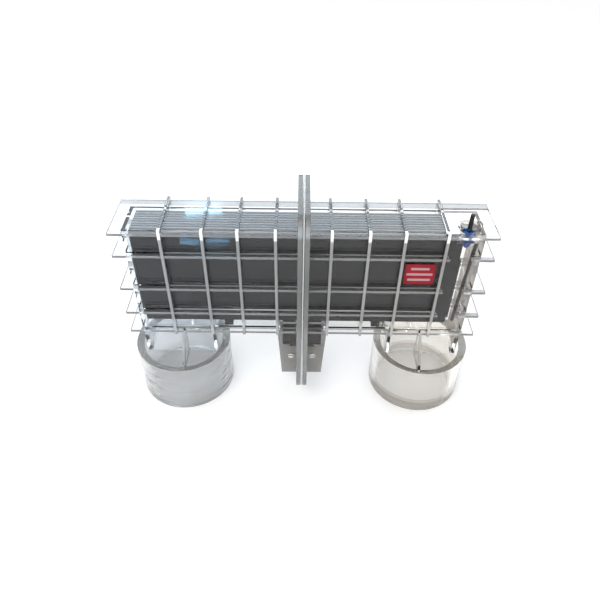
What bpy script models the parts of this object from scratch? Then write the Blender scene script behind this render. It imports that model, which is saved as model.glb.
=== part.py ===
"""Salt chlorine generator cell for a pool or spa.

A slim clear box stands on two round pipe sockets that point down. It is moulded as a left and a
right half, which meet at a flange in the middle. A pack of nine coated titanium plates runs
through both halves. The plates of each polarity stand on their own busbar, whose post goes down
through a black block into an open terminal pocket beside the flange. A blue bung with a black
sensor stem is pushed into a boss in the top of the right half.

The frame: X runs along the box, with the flange at X = 0. Y is the depth, with the sockets' axes
at Y = 0 and the front at -Y. Z is up, with the rims of the sockets at Z = 0.
"""

import math

import bmesh
import bpy
from mathutils import Matrix, Vector

# ---------------------------------------------------------------- driving dimensions (metres)

# The box
BOX_LENGTH = 0.2328
BOX_DEPTH = 0.0288
BOX_TOP = 0.1526
BOX_BOTTOM = 0.0655
WALL = 0.0024

# Ribs run round the box across its length, fins run round it level
RIB_THICKNESS = 0.0020
RIB_SHARES = (0.1956, 0.4590, 0.7060)
RIB_FRONT = 0.0048
RIB_BACK = 0.0080
RIB_TOP = 0.0024
RIB_BELOW = 0.0010
FIN_FRONT = 0.0044
FIN_BACK = 0.0076
FIN_END = 0.0080
FIN_SHARES = (0.7876, 0.4696, 0.2193)
WINDOW_END_FIN = 0.0070

# The flange between the halves
LEAF_THICKNESS = 0.0032
FLANGE_SEAL = 0.0008
FLANGE_REACH = 0.0166
FLANGE_RISE = 0.0184
FLANGE_BOTTOM = 0.0180
FLANGE_CORNER = 0.0080

# The pipe sockets
SOCKET_INSET = 0.0249
SOCKET_BORE = 0.0604
SOCKET_WALL = 0.0055
SHOULDER_TOP = 0.0425
SHOULDER_THICKNESS = 0.0030
NECK_INNER_REACH = 0.0255
GUSSET_FROM_AXIS = 0.0055
GUSSET_THICKNESS = 0.0020

# The electrode plates
PLATE_COUNT = 9
PLATE_SIDE_GAP = 0.0005
PLATE_THICKNESS = 0.0010
PLATE_LEFT_GAP = 0.0016
PLATE_RIGHT_GAP = 0.0106
PLATE_TOP_GAP = 0.0010
PLATE_RAISED = 0.0077
NOTCH_CLEARANCE = 0.0009
NOTCH_DEPTH = 0.0059

# The terminals
POCKET_HALF_TOP = 0.0182
POCKET_HALF_BOTTOM = 0.0153
POCKET_BOTTOM = 0.0190
POCKET_WALL = 0.0020
BLOCK_NEAR = 0.0046
BLOCK_SIDE_GAP = 0.0018
BLOCK_HEIGHT = 0.0192
BLOCK_RISE = 0.0037
TERMINAL_SEAL = 0.0025
BUSBAR_THICKNESS = 0.0021
POST_AT = 0.0081
POST_SHANK = 0.0042
POST_HEAD = 0.0076
POST_BOTTOM = 0.0300
WIRE_HOLE = 0.0034
SCREW_AT = 0.0376
SCREW_SHANK = 0.0030
SCREW_HEAD = 0.0048
SCREW_HEAD_HEIGHT = 0.0022
SCREW_SLOT = 0.0008

# The combs that hold the plates apart
COMB_BACK = 0.0012
COMB_GRIP = 0.0026
COMB_MARGIN = 0.000325
BOTTOM_COMB_FROM_NECK = 0.0127
BOTTOM_COMB_WIDTH = 0.0060
END_COMB_RAISED = 0.0048
END_COMB_UNDER_BUNG = 0.0070

# The sensor in the top of the right half
SENSOR_FROM_END = 0.0089
SENSOR_Y = -0.0055
BOSS_WALL = 0.0024
BOSS_PROUD = 0.0016
BUNG_SUNK = 0.0050
BUNG_LENGTH = 0.0110
BUNG_TOP_DIAMETER = 0.0100
BUNG_TIP_DIAMETER = 0.0036
STEM_DIAMETER = 0.0030
STEM_RISE = 0.0087
STEM_HELD = 0.0090
ROD_DIAMETER = 0.0024
ROD_LEAN = 0.0036
ROD_RAISED = 0.0008

# The warning label on the front
LABEL_MARGIN = 0.0032
LABEL_BELOW_FIN = 0.0061
LABEL_HEIGHT = 0.0170
LABEL_THICKNESS = 0.0004

# Clearances
GAP = 0.0003
SLOT_CLEARANCE = 0.0003
SCREW_CLEARANCE = 0.0004
OVERRUN = 0.0040
STEP = 0.0003
ROUND_STEPS = 48
SMALL_STEPS = 20

# ---------------------------------------------------------------- sizes worked out from these

HALF_LENGTH = BOX_LENGTH / 2
FRONT = -BOX_DEPTH / 2
BACK = BOX_DEPTH / 2
INNER_DEPTH = BOX_DEPTH / 2 - WALL
INNER_END = HALF_LENGTH - WALL
INNER_TOP = BOX_TOP - WALL
INNER_BOTTOM = BOX_BOTTOM + WALL
FIN_AT = tuple(BOX_BOTTOM + share * (BOX_TOP - BOX_BOTTOM) for share in FIN_SHARES)
FLANGE_DEPTH = BOX_DEPTH + 2 * FLANGE_REACH
FLANGE_TOP = BOX_TOP + FLANGE_RISE
SEAM = FLANGE_SEAL / 2 + GAP
LEAF_FACE = SEAM + LEAF_THICKNESS
SOCKET_X = HALF_LENGTH - SOCKET_INSET
SOCKET_RADIUS = SOCKET_BORE / 2 + SOCKET_WALL
RIB_AT = tuple(share * SOCKET_X for share in RIB_SHARES)
BLOCK_FAR = POCKET_HALF_TOP - POCKET_WALL - BLOCK_SIDE_GAP
BLOCK_TOP = BOX_BOTTOM + BLOCK_RISE
BLOCK_BOTTOM = BLOCK_TOP - BLOCK_HEIGHT
PLATE_LEFT = -INNER_END + PLATE_LEFT_GAP
PLATE_RIGHT = INNER_END - PLATE_RIGHT_GAP
PLATE_TOP = INNER_TOP - PLATE_TOP_GAP
PLATE_BOTTOM = BOX_BOTTOM + PLATE_RAISED
PLATE_PITCH = (2 * (INNER_DEPTH - PLATE_SIDE_GAP) - PLATE_THICKNESS) / (PLATE_COUNT - 1)
BUSBAR_TOP = BLOCK_TOP + GAP + BUSBAR_THICKNESS
PACK_HALF = (PLATE_COUNT - 1) / 2 * PLATE_PITCH + PLATE_THICKNESS / 2
BUNG_TOP = BOX_TOP - BUNG_SUNK
STEM_TOP = BOX_TOP + STEM_RISE
STEM_BOTTOM = BUNG_TOP - STEM_HELD
END_COMB_BOTTOM = PLATE_BOTTOM + END_COMB_RAISED
END_COMB_TOP = BUNG_TOP - BUNG_LENGTH - END_COMB_UNDER_BUNG
BOTTOM_COMB_AT = SOCKET_X - NECK_INNER_REACH - BOTTOM_COMB_FROM_NECK
SENSOR_X = HALF_LENGTH - SENSOR_FROM_END
BOSS_RADIUS = BUNG_TOP_DIAMETER / 2 + GAP + BOSS_WALL
BOSS_BOTTOM = PLATE_TOP - NOTCH_DEPTH + 2 * GAP


# ---------------------------------------------------------------- modelling helpers


def clear_scene():
    for old in list(bpy.data.objects):
        bpy.data.objects.remove(old)


def new_collection(name, parent, helper=False):
    collection = bpy.data.collections.new(name)
    parent.children.link(collection)
    collection.hide_render = helper
    return collection


def finish_material(name, colour, roughness, metallic=0.0, alpha=1.0):
    material = bpy.data.materials.new(name)
    material.use_nodes = True
    shader = material.node_tree.nodes["Principled BSDF"]
    shader.inputs["Base Color"].default_value = (*colour, 1.0)
    shader.inputs["Roughness"].default_value = roughness
    shader.inputs["Metallic"].default_value = metallic
    shader.inputs["Alpha"].default_value = alpha
    return material


def place(obj, collection, material=None):
    """Link an object to its collection. One with no material is a helper, kept out of renders."""
    collection.objects.link(obj)
    if material is None:
        obj.hide_render = True
        obj.display_type = "WIRE"
    else:
        obj.data.materials.append(material)
    return obj


def mesh_object(name, bm, centre=(0.0, 0.0, 0.0)):
    mesh = bpy.data.meshes.new(name)
    bm.to_mesh(mesh)
    bm.free()
    obj = bpy.data.objects.new(name, mesh)
    obj.location = centre
    return obj


def box(name, low, high):
    """A box between two opposite corners, given in any order."""
    low, high = Vector(low), Vector(high)
    size = [abs(value) for value in high - low]
    bm = bmesh.new()
    bmesh.ops.create_cube(bm, size=1.0, matrix=Matrix.Diagonal((*size, 1.0)))
    return mesh_object(name, bm, (low + high) / 2)


def cylinder(name, centre, bottom, top, radius, top_radius=None, steps=ROUND_STEPS):
    """An upright cylinder, or a cone when top_radius is given, at centre (x, y)."""
    bm = bmesh.new()
    bmesh.ops.create_cone(
        bm,
        cap_ends=True,
        segments=steps,
        radius1=radius,
        radius2=radius if top_radius is None else top_radius,
        depth=top - bottom,
    )
    return mesh_object(name, bm, (*centre, (bottom + top) / 2))


def cross_cylinder(name, x, z, front, back, radius, steps=SMALL_STEPS):
    """A cylinder along Y, from front to back."""
    obj = cylinder(name, (0.0, 0.0), 0.0, back - front, radius, steps=steps)
    obj.location = (x, (front + back) / 2, z)
    obj.rotation_euler = (math.radians(90), 0.0, 0.0)
    return obj


def flat_outline(name, loops, thickness):
    """A flat piece in its local XY plane: the first loop is its edge, the others are holes."""
    curve = bpy.data.curves.new(name, "CURVE")
    curve.dimensions = "2D"
    curve.fill_mode = "BOTH"
    curve.extrude = thickness / 2
    for loop in loops:
        spline = curve.splines.new("POLY")
        spline.points.add(len(loop) - 1)
        for point, (x, y) in zip(spline.points, loop):
            point.co = (x, y, 0.0, 1.0)
        spline.use_cyclic_u = True
    return bpy.data.objects.new(name, curve)


def as_mesh(curve_object, collection):
    """The curve object made a mesh, with its loose caps welded, so that a Boolean can use it."""
    collection.objects.link(curve_object)
    bpy.context.view_layer.update()
    graph = bpy.context.evaluated_depsgraph_get()
    mesh = bpy.data.meshes.new_from_object(curve_object.evaluated_get(graph))
    bm = bmesh.new()
    bm.from_mesh(mesh)
    bmesh.ops.remove_doubles(bm, verts=bm.verts, dist=1e-6)
    bmesh.ops.recalc_face_normals(bm, faces=bm.faces)
    bm.to_mesh(mesh)
    bm.free()
    name, where = curve_object.name, curve_object.matrix_world.copy()
    bpy.data.objects.remove(curve_object)
    obj = bpy.data.objects.new(name, mesh)
    obj.matrix_world = where
    return obj


def cross_section(name, outline, x, thickness, collection):
    """A slab across the box: the outline is in (y, z), and the slab is centred on x."""
    obj = flat_outline(name, [outline], thickness)
    obj.location = (x, 0.0, 0.0)
    obj.rotation_euler = (math.radians(90), 0.0, math.radians(90))
    return as_mesh(obj, collection)


def boolean(target, collection, operation):
    modifier = target.modifiers.new(operation.title(), "BOOLEAN")
    modifier.operation = operation
    modifier.operand_type = "COLLECTION"
    modifier.collection = collection
    modifier.solver = "EXACT"


def round_smooth(obj, angle=35):
    obj.data.shade_smooth()
    obj.data.set_sharp_from_angle(angle=math.radians(angle))


def rounded_rectangle(low, high, radius, steps=5):
    """The corner arcs of a rectangle in its plane, anticlockwise from the lower left."""
    centres = (
        ((low[0] + radius, low[1] + radius), 180),
        ((high[0] - radius, low[1] + radius), 270),
        ((high[0] - radius, high[1] - radius), 0),
        ((low[0] + radius, high[1] - radius), 90),
    )
    points = []
    for (x, y), start in centres:
        for step in range(steps + 1):
            angle = math.radians(start + 90 * step / steps)
            points.append((x + radius * math.cos(angle), y + radius * math.sin(angle)))
    return points


# ---------------------------------------------------------------- the clear housing halves


def flange_outline(inset=0.0):
    half = FLANGE_DEPTH / 2 - inset
    low = (-half, FLANGE_BOTTOM + inset)
    high = (half, FLANGE_TOP - inset)
    return rounded_rectangle(low, high, FLANGE_CORNER - inset)


def pocket_outline(side, near, inset, top, bottom):
    """The pocket seen from the front, whose outer wall leans in towards the bottom."""

    def outer(z):
        share = (BOX_BOTTOM - z) / (BOX_BOTTOM - POCKET_BOTTOM)
        return POCKET_HALF_TOP + (POCKET_HALF_BOTTOM - POCKET_HALF_TOP) * share - inset

    loop = [(near, bottom), (outer(bottom), bottom), (outer(top), top), (near, top)]
    return [(side * x, z) for x, z in loop]


def upright_prism(name, outline, depth, collection):
    """A solid whose front and back are the outline in (x, z)."""
    obj = flat_outline(name, [outline], depth)
    obj.rotation_euler = (math.radians(90), 0.0, 0.0)
    return as_mesh(obj, collection)


def fin_outline(side, windowed):
    """A fin seen from above. A windowed one is cut back across the plain end of the front."""
    front, back = FRONT - FIN_FRONT, BACK + FIN_BACK
    root, end = SEAM + LEAF_THICKNESS / 2, HALF_LENGTH + FIN_END
    loop = [(root, front)]
    if windowed:
        cut = FRONT + WALL / 2
        stop, corner = SOCKET_X + 2 * RIB_THICKNESS, HALF_LENGTH - WINDOW_END_FIN
        loop += [(stop, front), (stop - RIB_THICKNESS, cut), (corner, cut), (corner, front)]
    loop += [(end, front), (end, back), (root, back)]
    return [(side * x, y) for x, y in loop]


def add_ribs_and_fins(side, name, adds):
    """The grid of ribs and fins moulded round the box."""
    half = RIB_THICKNESS / 2
    for index, x in enumerate((*RIB_AT, SOCKET_X)):
        low = (side * x - half, FRONT - RIB_FRONT, BOX_BOTTOM - RIB_BELOW)
        high = (side * x + half, BACK + RIB_BACK, BOX_TOP + RIB_TOP)
        place(box(f"{name}_rib_{index + 1}", low, high), adds)
    levels = (*FIN_AT, BOX_BOTTOM + half + STEP, BOX_TOP - half - STEP)
    for index, z in enumerate(levels):
        # the front of the right half has no middle fins between its last rib and its end
        windowed = side > 0 and index < len(FIN_AT)
        fin = flat_outline(f"{name}_fin_{index + 1}", [fin_outline(side, windowed)], 2 * half)
        fin.location = (0.0, 0.0, z)
        place(as_mesh(fin, adds), adds)


def add_socket(side, name, adds, cuts):
    """The pipe socket, its shoulder, the neck that joins it to the box, and the gussets."""
    axis = (side * SOCKET_X, 0.0)
    shoulder_bottom = SHOULDER_TOP - SHOULDER_THICKNESS
    barrel = cylinder(f"{name}_barrel", axis, 0.0, SHOULDER_TOP, SOCKET_RADIUS)
    place(barrel, adds)
    bore = cylinder(f"{name}_bore", axis, -OVERRUN, shoulder_bottom, SOCKET_BORE / 2)
    place(bore, cuts)
    inner = SOCKET_X - NECK_INNER_REACH
    low = (side * (inner - WALL), FRONT + STEP, shoulder_bottom + SHOULDER_THICKNESS / 2)
    high = (side * (HALF_LENGTH - STEP), BACK - STEP, BOX_BOTTOM + WALL / 2)
    place(box(f"{name}_neck", low, high), adds)
    throat = INNER_DEPTH - STEP
    low = (side * inner, -throat, shoulder_bottom - OVERRUN)
    high = (side * (INNER_END - STEP), throat, INNER_BOTTOM + OVERRUN)
    place(box(f"{name}_throat", low, high), cuts)
    tip = SOCKET_RADIUS - RIB_THICKNESS
    gusset_x = side * (SOCKET_X - GUSSET_FROM_AXIS)
    for word, facing in (("front", -1), ("back", 1)):
        outline = [
            (facing * INNER_DEPTH + facing * WALL / 2, shoulder_bottom + SHOULDER_THICKNESS / 2),
            (facing * tip, shoulder_bottom + SHOULDER_THICKNESS / 2),
            (facing * tip, SHOULDER_TOP + RIB_THICKNESS),
            (facing * (BACK + RIB_FRONT), BOX_BOTTOM + RIB_THICKNESS / 2),
            (facing * INNER_DEPTH + facing * WALL / 2, BOX_BOTTOM + RIB_THICKNESS / 2),
        ]
        gusset = cross_section(
            f"{name}_{word}_gusset", outline, gusset_x, GUSSET_THICKNESS, adds
        )
        place(gusset, adds)


def add_pocket(side, name, adds, cuts):
    """The terminal pocket, open below, with a hole in its front for a screwdriver."""
    outline = pocket_outline(side, SEAM + STEP, 0.0, BOX_BOTTOM + WALL / 2, POCKET_BOTTOM)
    solid = upright_prism(f"{name}_pocket", outline, BOX_DEPTH - 2 * STEP, adds)
    place(solid, adds)
    outline = pocket_outline(
        side, LEAF_FACE + STEP, POCKET_WALL, BOX_BOTTOM, POCKET_BOTTOM - OVERRUN
    )
    hollow = upright_prism(f"{name}_pocket_hollow", outline, 2 * (INNER_DEPTH + STEP), cuts)
    place(hollow, cuts)
    low = (side * (BLOCK_NEAR - GAP), STEP - INNER_DEPTH, BLOCK_BOTTOM)
    high = (side * (BLOCK_FAR + GAP), INNER_DEPTH - STEP, INNER_BOTTOM + OVERRUN)
    place(box(f"{name}_block_hole", low, high), cuts)
    hole = cross_cylinder(
        f"{name}_screw_hole",
        side * POST_AT,
        SCREW_AT,
        FRONT - OVERRUN,
        -INNER_DEPTH + OVERRUN,
        SCREW_HEAD / 2 + SCREW_CLEARANCE,
    )
    place(hole, cuts)


def add_sensor_boss(name, adds, cuts):
    """The boss in the top of the right half, with a tapered bore for the bung."""
    axis = (SENSOR_X, SENSOR_Y)
    boss = cylinder(f"{name}_boss", axis, BOSS_BOTTOM, BOX_TOP + BOSS_PROUD, BOSS_RADIUS)
    place(boss, adds)
    taper = (BUNG_TOP_DIAMETER - BUNG_TIP_DIAMETER) / 2 / BUNG_LENGTH
    high = BOX_TOP + BOSS_PROUD + OVERRUN
    low = BUNG_TOP - BUNG_LENGTH
    low_radius = BUNG_TIP_DIAMETER / 2 + GAP
    high_radius = low_radius + taper * (high - low)
    place(cylinder(f"{name}_boss_bore", axis, low, high, low_radius, high_radius), cuts)


def build_housing(side, collection, helpers, material):
    name = "housing_right" if side > 0 else "housing_left"
    adds = new_collection(f"{name}_adds", helpers)
    cuts = new_collection(f"{name}_cuts", helpers)
    # the leaf is the piece that everything else is joined to
    leaf_x = side * (SEAM + LEAF_THICKNESS / 2)
    shell = cross_section(name, flange_outline(), leaf_x, LEAF_THICKNESS, helpers)
    place(shell, collection, material)
    low = (side * (SEAM + LEAF_THICKNESS / 2), FRONT, BOX_BOTTOM)
    high = (side * HALF_LENGTH, BACK, BOX_TOP)
    place(box(f"{name}_box", low, high), adds)
    low = (side * (SEAM - OVERRUN), -INNER_DEPTH, INNER_BOTTOM)
    high = (side * INNER_END, INNER_DEPTH, INNER_TOP)
    cavity = box(f"{name}_cavity", low, high)
    add_ribs_and_fins(side, name, adds)
    add_socket(side, name, adds, cuts)
    add_pocket(side, name, adds, cuts)
    boolean(shell, adds, "UNION")
    if side > 0:
        hollow = new_collection(f"{name}_hollow", helpers)
        place(cavity, hollow)
        boolean(shell, hollow, "DIFFERENCE")
        late = new_collection(f"{name}_boss_adds", helpers)
        add_sensor_boss(name, late, cuts)
        boolean(shell, late, "UNION")
    else:
        place(cavity, cuts)
    boolean(shell, cuts, "DIFFERENCE")
    round_smooth(shell, 25)


def build_flange_seal(collection, material):
    """The thin clear gasket between the leaves, cut out where the plates pass."""
    window = [
        (-INNER_DEPTH, INNER_BOTTOM),
        (INNER_DEPTH, INNER_BOTTOM),
        (INNER_DEPTH, INNER_TOP),
        (-INNER_DEPTH, INNER_TOP),
    ]
    seal = flat_outline("flange_seal", [flange_outline(GAP), window], FLANGE_SEAL)
    seal.rotation_euler = (math.radians(90), 0.0, math.radians(90))
    place(seal, collection, material)


# ---------------------------------------------------------------- the electrode pack


def plate_y(index):
    return (index - (PLATE_COUNT - 1) / 2) * PLATE_PITCH


def plate_outline(tab_side):
    """A plate seen from the front, with the tab that stands on its own busbar."""
    near, far = sorted((tab_side * (BLOCK_NEAR + GAP), tab_side * (BLOCK_FAR - GAP)))
    notch_x = SENSOR_X - BOSS_RADIUS - NOTCH_CLEARANCE
    notch_z = PLATE_TOP - NOTCH_DEPTH
    tab_bottom = BUSBAR_TOP + GAP
    return [
        (PLATE_LEFT, PLATE_BOTTOM),
        (near, PLATE_BOTTOM),
        (near, tab_bottom),
        (far, tab_bottom),
        (far, PLATE_BOTTOM),
        (PLATE_RIGHT, PLATE_BOTTOM),
        (PLATE_RIGHT, notch_z),
        (notch_x, notch_z),
        (notch_x, PLATE_TOP),
        (PLATE_LEFT, PLATE_TOP),
    ]


def build_plates(collection, anode, cathode):
    """Nine plates from front to back, the odd ones anodes and the even ones cathodes."""
    for index in range(PLATE_COUNT):
        is_anode = index % 2 == 0
        name = f"{'anode' if is_anode else 'cathode'}_plate_{index // 2 + 1}"
        outline = plate_outline(-1 if is_anode else 1)
        plate = flat_outline(name, [outline], PLATE_THICKNESS)
        plate.location = (0.0, plate_y(index), 0.0)
        plate.rotation_euler = (math.radians(90), 0.0, 0.0)
        place(plate, collection, anode if is_anode else cathode)


def comb_outline(floor, tip, edge):
    """A comb's profile: a back from edge to floor, and teeth from floor to tip between slots.

    The first value of each point runs across the plates and the second along a slot.
    """
    reach = PACK_HALF + COMB_MARGIN
    slot = PLATE_THICKNESS / 2 + SLOT_CLEARANCE
    points = [(-reach, edge), (reach, edge)]
    for index in reversed(range(PLATE_COUNT)):
        y = plate_y(index)
        if index == PLATE_COUNT - 1:
            points += [(reach, floor), (y - slot, floor), (y - slot, tip)]
        elif index == 0:
            points += [(y + slot, tip), (y + slot, floor), (-reach, floor)]
        else:
            points += [(y + slot, tip), (y + slot, floor), (y - slot, floor), (y - slot, tip)]
    return points


def build_combs(collection, material):
    """Two combs under the plates, and one at each end of the pack."""
    floor = PLATE_BOTTOM - GAP
    for word, side in (("left", -1), ("right", 1)):
        outline = comb_outline(floor, floor + COMB_GRIP, INNER_BOTTOM + GAP)
        comb = flat_outline(f"bottom_comb_{word}", [outline], BOTTOM_COMB_WIDTH)
        comb.location = (side * BOTTOM_COMB_AT, 0.0, 0.0)
        comb.rotation_euler = (math.radians(90), 0.0, math.radians(90))
        place(comb, collection, material)
    for word, end, outward in (("left", PLATE_LEFT, -1), ("right", PLATE_RIGHT, 1)):
        floor = end + outward * GAP
        back = floor + outward * (COMB_BACK - GAP)
        outline = comb_outline(floor, floor - outward * COMB_GRIP, back)
        outline = [(x, y) for y, x in outline]
        comb = flat_outline(f"end_comb_{word}", [outline], END_COMB_TOP - END_COMB_BOTTOM)
        comb.location = (0.0, 0.0, (END_COMB_TOP + END_COMB_BOTTOM) / 2)
        place(comb, collection, material)


# ---------------------------------------------------------------- the terminals


def build_terminal(side, word, collection, helpers, finishes):
    """One busbar with its block, seal, post and clamp screw, from the top down."""
    x = side * POST_AT
    polarity = "anode" if side < 0 else "cathode"
    depth = INNER_DEPTH - 2 * GAP
    near, far = side * BLOCK_NEAR, side * BLOCK_FAR
    low = (near, -PACK_HALF, BLOCK_TOP + GAP)
    high = (far, PACK_HALF, BUSBAR_TOP)
    place(box(f"{polarity}_busbar", low, high), collection, finishes["titanium"])

    shank_hole = new_collection(f"{word}_shank_hole", helpers)
    hole_radius = POST_SHANK / 2 + GAP
    hole = cylinder(
        f"{word}_shank_bore",
        (x, 0.0),
        BLOCK_BOTTOM - TERMINAL_SEAL - OVERRUN,
        BLOCK_TOP + OVERRUN,
        hole_radius,
        steps=SMALL_STEPS,
    )
    place(hole, shank_hole)
    block = box(f"terminal_block_{word}", (near, -depth, BLOCK_BOTTOM), (far, depth, BLOCK_TOP))
    place(block, collection, finishes["black"])
    boolean(block, shank_hole, "DIFFERENCE")
    seal_top = BLOCK_BOTTOM - GAP
    seal_bottom = BLOCK_BOTTOM - TERMINAL_SEAL
    seal = box(f"terminal_seal_{word}", (near, -depth, seal_bottom), (far, depth, seal_top))
    place(seal, collection, finishes["rubber"])
    boolean(seal, shank_hole, "DIFFERENCE")

    head_top = seal_bottom - GAP
    post = cylinder(
        f"terminal_post_{word}", (x, 0.0), POST_BOTTOM, head_top, POST_HEAD / 2, steps=SMALL_STEPS
    )
    place(post, collection, finishes["titanium"])
    shank = cylinder(
        f"{word}_shank",
        (x, 0.0),
        head_top - POST_HEAD / 2,
        BLOCK_TOP,
        POST_SHANK / 2,
        steps=SMALL_STEPS,
    )
    shank_add = new_collection(f"{word}_shank_add", helpers)
    place(shank, shank_add)
    boolean(post, shank_add, "UNION")
    post_cuts = new_collection(f"{word}_post_cuts", helpers)
    wire_hole = cylinder(
        f"{word}_wire_hole",
        (x, 0.0),
        POST_BOTTOM - OVERRUN,
        SCREW_AT + WIRE_HOLE,
        WIRE_HOLE / 2,
        steps=SMALL_STEPS,
    )
    place(wire_hole, post_cuts)
    screw_bore = cross_cylinder(
        f"{word}_screw_bore",
        x,
        SCREW_AT,
        -POST_HEAD,
        0.0,
        SCREW_SHANK / 2 + GAP,
    )
    place(screw_bore, post_cuts)
    boolean(post, post_cuts, "DIFFERENCE")
    round_smooth(post)

    screw = cross_cylinder(
        f"clamp_screw_{word}",
        x,
        SCREW_AT,
        FRONT,
        FRONT + SCREW_HEAD_HEIGHT,
        SCREW_HEAD / 2,
    )
    place(screw, collection, finishes["steel"])
    screw_shank = cross_cylinder(
        f"{word}_screw_shank",
        x,
        SCREW_AT,
        FRONT + SCREW_HEAD_HEIGHT / 2,
        -WIRE_HOLE / 2 - GAP,
        SCREW_SHANK / 2,
    )
    screw_add = new_collection(f"{word}_screw_add", helpers)
    place(screw_shank, screw_add)
    boolean(screw, screw_add, "UNION")
    slot_collection = new_collection(f"{word}_screw_slot", helpers)
    slot = box(
        f"{word}_slot",
        (x - SCREW_HEAD, FRONT - OVERRUN, SCREW_AT - SCREW_SLOT / 2),
        (x + SCREW_HEAD, FRONT + SCREW_HEAD_HEIGHT / 2, SCREW_AT + SCREW_SLOT / 2),
    )
    place(slot, slot_collection)
    boolean(screw, slot_collection, "DIFFERENCE")
    round_smooth(screw)


# ---------------------------------------------------------------- the sensor and the label


def build_sensor(collection, helpers, finishes):
    """The blue bung, the black stem that stands in it, and the rod in the end gap."""
    axis = (SENSOR_X, SENSOR_Y)
    bung = cylinder(
        "sensor_bung",
        axis,
        BUNG_TOP - BUNG_LENGTH,
        BUNG_TOP,
        BUNG_TIP_DIAMETER / 2,
        BUNG_TOP_DIAMETER / 2,
    )
    place(bung, collection, finishes["blue"])
    stem_hole = cylinder(
        "bung_hole",
        axis,
        STEM_BOTTOM - GAP,
        BUNG_TOP + OVERRUN,
        STEM_DIAMETER / 2 + GAP,
        steps=SMALL_STEPS,
    )
    cuts = new_collection("bung_cuts", helpers)
    place(stem_hole, cuts)
    boolean(bung, cuts, "DIFFERENCE")
    round_smooth(bung)
    stem = cylinder(
        "sensor_stem", axis, STEM_BOTTOM, STEM_TOP, STEM_DIAMETER / 2, steps=SMALL_STEPS
    )
    place(stem, collection, finishes["black"])
    round_smooth(stem)

    rod_top = BOSS_BOTTOM - 2 * GAP
    rod_bottom = PLATE_BOTTOM + ROD_RAISED
    rod_length = rod_top - rod_bottom
    reach = ROD_DIAMETER / 2 + 2 * GAP
    rod = cylinder(
        "level_rod", (0.0, 0.0), 0.0, rod_length, ROD_DIAMETER / 2, steps=SMALL_STEPS
    )
    top_x = INNER_END - reach
    rod.location = (top_x - ROD_LEAN / 2, -INNER_DEPTH + reach, (rod_top + rod_bottom) / 2)
    rod.rotation_euler = (0.0, math.atan2(ROD_LEAN, rod_length), 0.0)
    place(rod, collection, finishes["black"])
    round_smooth(rod)


def build_label(collection, material):
    """The red film in the front window between the last two ribs, under the top fin."""
    back = FRONT - GAP
    top = FIN_AT[0] - LABEL_BELOW_FIN
    low = (RIB_AT[-1] + LABEL_MARGIN, back - LABEL_THICKNESS, top - LABEL_HEIGHT)
    high = (SOCKET_X - LABEL_MARGIN, back, top)
    place(box("warning_label", low, high), collection, material)


# ---------------------------------------------------------------- the whole cell


def build_cell():
    clear_scene()
    scene_collection = bpy.context.scene.collection
    cell = new_collection("salt_chlorine_generator", scene_collection)
    helpers = new_collection("cutters", scene_collection, helper=True)
    clear = finish_material("clear_plastic", (0.86, 0.88, 0.89), 0.08, alpha=0.35)
    seal = finish_material("clear_silicone", (0.80, 0.83, 0.84), 0.30, alpha=0.60)
    finishes = {
        "anode": finish_material("coated_titanium", (0.045, 0.050, 0.060), 0.55, 0.4),
        "cathode": finish_material("dark_titanium", (0.110, 0.115, 0.130), 0.45, 0.7),
        "titanium": finish_material("bare_titanium", (0.42, 0.41, 0.40), 0.35, 1.0),
        "steel": finish_material("stainless_steel", (0.62, 0.61, 0.60), 0.28, 1.0),
        "black": finish_material("black_plastic", (0.015, 0.015, 0.017), 0.40),
        "rubber": finish_material("black_rubber", (0.010, 0.010, 0.010), 0.75),
        "blue": finish_material("blue_rubber", (0.02, 0.12, 0.62), 0.35),
        "red": finish_material("red_label", (0.45, 0.01, 0.02), 0.40),
    }
    build_housing(-1, cell, helpers, clear)
    build_housing(1, cell, helpers, clear)
    build_flange_seal(cell, seal)
    build_plates(cell, finishes["anode"], finishes["cathode"])
    build_combs(cell, clear)
    build_terminal(-1, "left", cell, helpers, finishes)
    build_terminal(1, "right", cell, helpers, finishes)
    build_sensor(cell, helpers, finishes)
    build_label(cell, finishes["red"])


build_cell()
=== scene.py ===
"""Looks for a salt chlorine generator cell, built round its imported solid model.

The cell is put together in the order of the sections below: the clear housing halves and the seal
between them, the pack of electrode plates with its combs and busbars, the terminals that carry the
current in, the sensor in the top of the right half, and the warning label.
"""

import math

import bmesh
import bpy
import numpy as np
from mathutils import Matrix, Vector


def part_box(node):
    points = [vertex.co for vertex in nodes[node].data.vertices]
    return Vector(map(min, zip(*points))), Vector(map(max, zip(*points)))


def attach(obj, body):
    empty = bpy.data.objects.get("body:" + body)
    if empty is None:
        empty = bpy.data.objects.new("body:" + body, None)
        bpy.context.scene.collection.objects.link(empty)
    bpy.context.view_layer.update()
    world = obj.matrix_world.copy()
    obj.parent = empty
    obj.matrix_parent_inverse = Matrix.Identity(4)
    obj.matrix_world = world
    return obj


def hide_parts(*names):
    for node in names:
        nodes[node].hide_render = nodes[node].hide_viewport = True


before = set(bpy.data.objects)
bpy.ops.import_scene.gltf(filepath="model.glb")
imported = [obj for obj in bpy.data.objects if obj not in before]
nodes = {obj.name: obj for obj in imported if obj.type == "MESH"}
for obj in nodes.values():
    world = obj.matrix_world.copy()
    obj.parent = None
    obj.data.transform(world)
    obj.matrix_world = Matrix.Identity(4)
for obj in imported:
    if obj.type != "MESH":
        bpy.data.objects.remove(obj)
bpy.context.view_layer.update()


# ---------------------------------------------------------------- camera
# It stands in front of the cell and above it, and looks down on it at about forty degrees.
# Places are in metres and turns in degrees.

CAMERA_PLACE = (-0.0029, -0.3156, 0.3617)
CAMERA_HEADING = -0.208
CAMERA_DOWN = 41.547
CAMERA_ROLL = 0.820

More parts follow.
